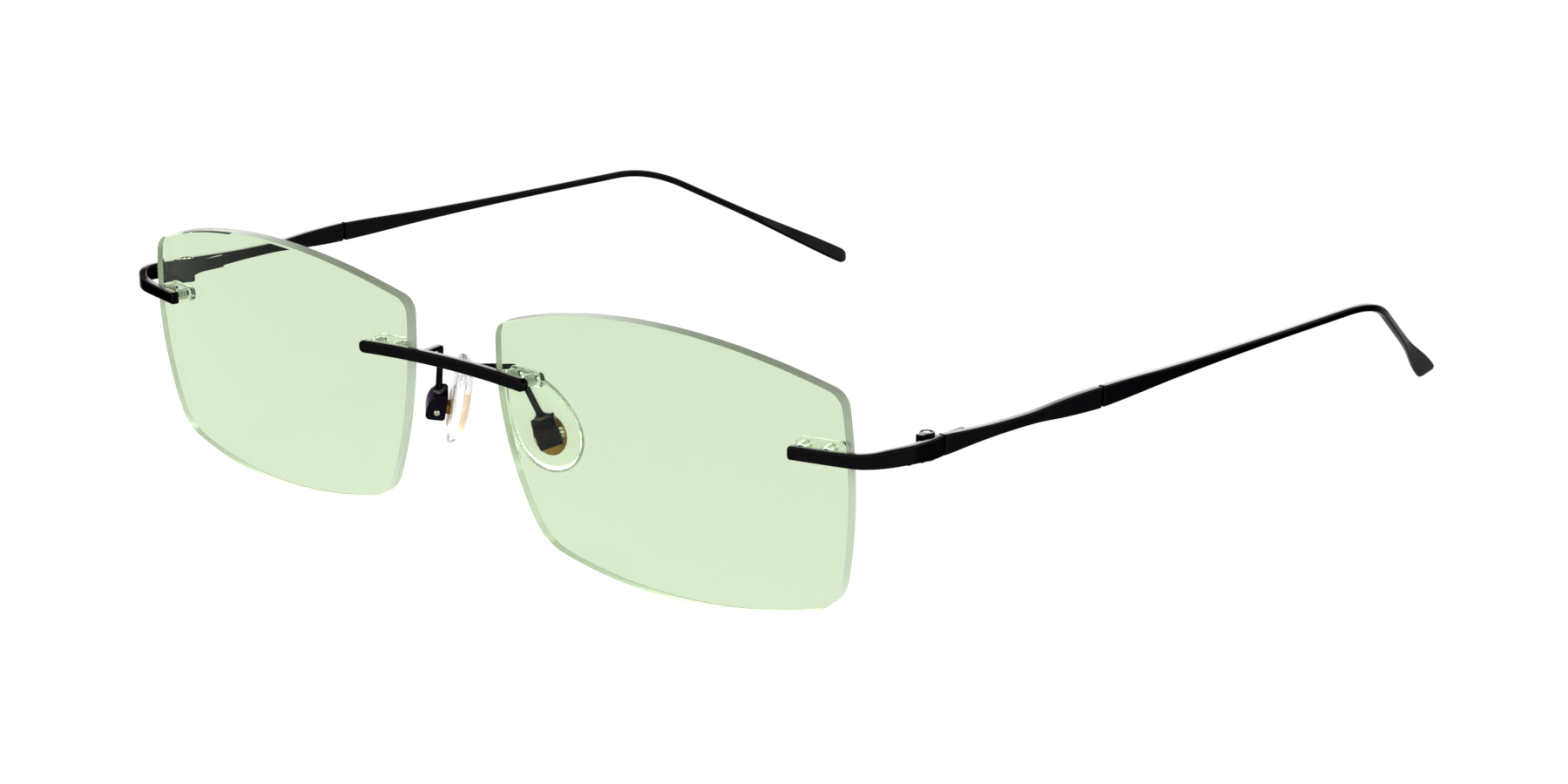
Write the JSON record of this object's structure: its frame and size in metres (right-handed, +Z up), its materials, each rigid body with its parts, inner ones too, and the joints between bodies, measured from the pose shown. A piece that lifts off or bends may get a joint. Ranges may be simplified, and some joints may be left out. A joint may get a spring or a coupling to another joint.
{
  "type": "rimless eyeglasses",
  "caption": "Rimless spectacles: tinted lenses pinned to a bar bridge and wrap-round endpieces, with folding wire temples and rocking silicone nose pads.",
  "frame": {"origin": "on the table under the centre of the bounding box, temples open", "axes": "+X to the wearer's left, +Y from the lenses back to the ears, +Z up"},
  "size_m": [0.1418, 0.1547, 0.0356],
  "materials": {
    "black_metal": "gloss black plated metal",
    "tinted_lens": "polished clear lens plastic, light green tint, ground edge",
    "clear_plug": "clear moulded plastic",
    "clear_silicone": "clear soft silicone",
    "gold_plate": "thin plated metal plate",
    "screw_steel": "turned steel"
  },
  "bodies": {
    "front": {"bridge": "black_metal", "lens_left": "tinted_lens", "lens_right": "tinted_lens", "nasal_plug_left": "clear_plug", "nasal_plug_right": "clear_plug", "temple_plug_left": "clear_plug", "temple_plug_right": "clear_plug", "pad_arm_left": "black_metal", "pad_arm_right": "black_metal", "pad_box_left": "black_metal", "pad_box_right": "black_metal", "pad_screw_left": "screw_steel", "pad_screw_right": "screw_steel", "endpiece_left": "black_metal", "endpiece_right": "black_metal", "hinge_frame_left": "black_metal", "hinge_frame_right": "black_metal", "hinge_screw_left": "screw_steel", "hinge_screw_right": "screw_steel"},
    "temple_left": {"hinge_temple_left": "black_metal", "temple_front_left": "black_metal", "temple_rear_left": "black_metal"},
    "temple_right": {"hinge_temple_right": "black_metal", "temple_front_right": "black_metal", "temple_rear_right": "black_metal"},
    "pad_left": {"nose_pad_left": "clear_silicone", "pad_core_left": "gold_plate"},
    "pad_right": {"nose_pad_right": "clear_silicone", "pad_core_right": "gold_plate"}
  },
  "joints": [
    {"name": "temple_left_fold", "type": "hinge", "parent": "front", "child": "temple_left", "pos_m": [0.0675, -0.06245, 0.02362], "axis": [0, 0, 1], "range_deg": [0, 88]},
    {"name": "temple_right_fold", "type": "hinge", "parent": "front", "child": "temple_right", "pos_m": [-0.0675, -0.06245, 0.02362], "axis": [0, 0, -1], "range_deg": [0, 79]},
    {"name": "pad_left_rock", "type": "hinge", "parent": "front", "child": "pad_left", "pos_m": [0.01065, -0.0679, 0.01489], "axis": [0.6763, 0.6539, 0.3391], "range_deg": [-8, 8]},
    {"name": "pad_right_rock", "type": "hinge", "parent": "front", "child": "pad_right", "pos_m": [-0.01065, -0.0679, 0.01489], "axis": [0.6763, -0.6539, -0.3391], "range_deg": [-8, 8]}
  ]
}
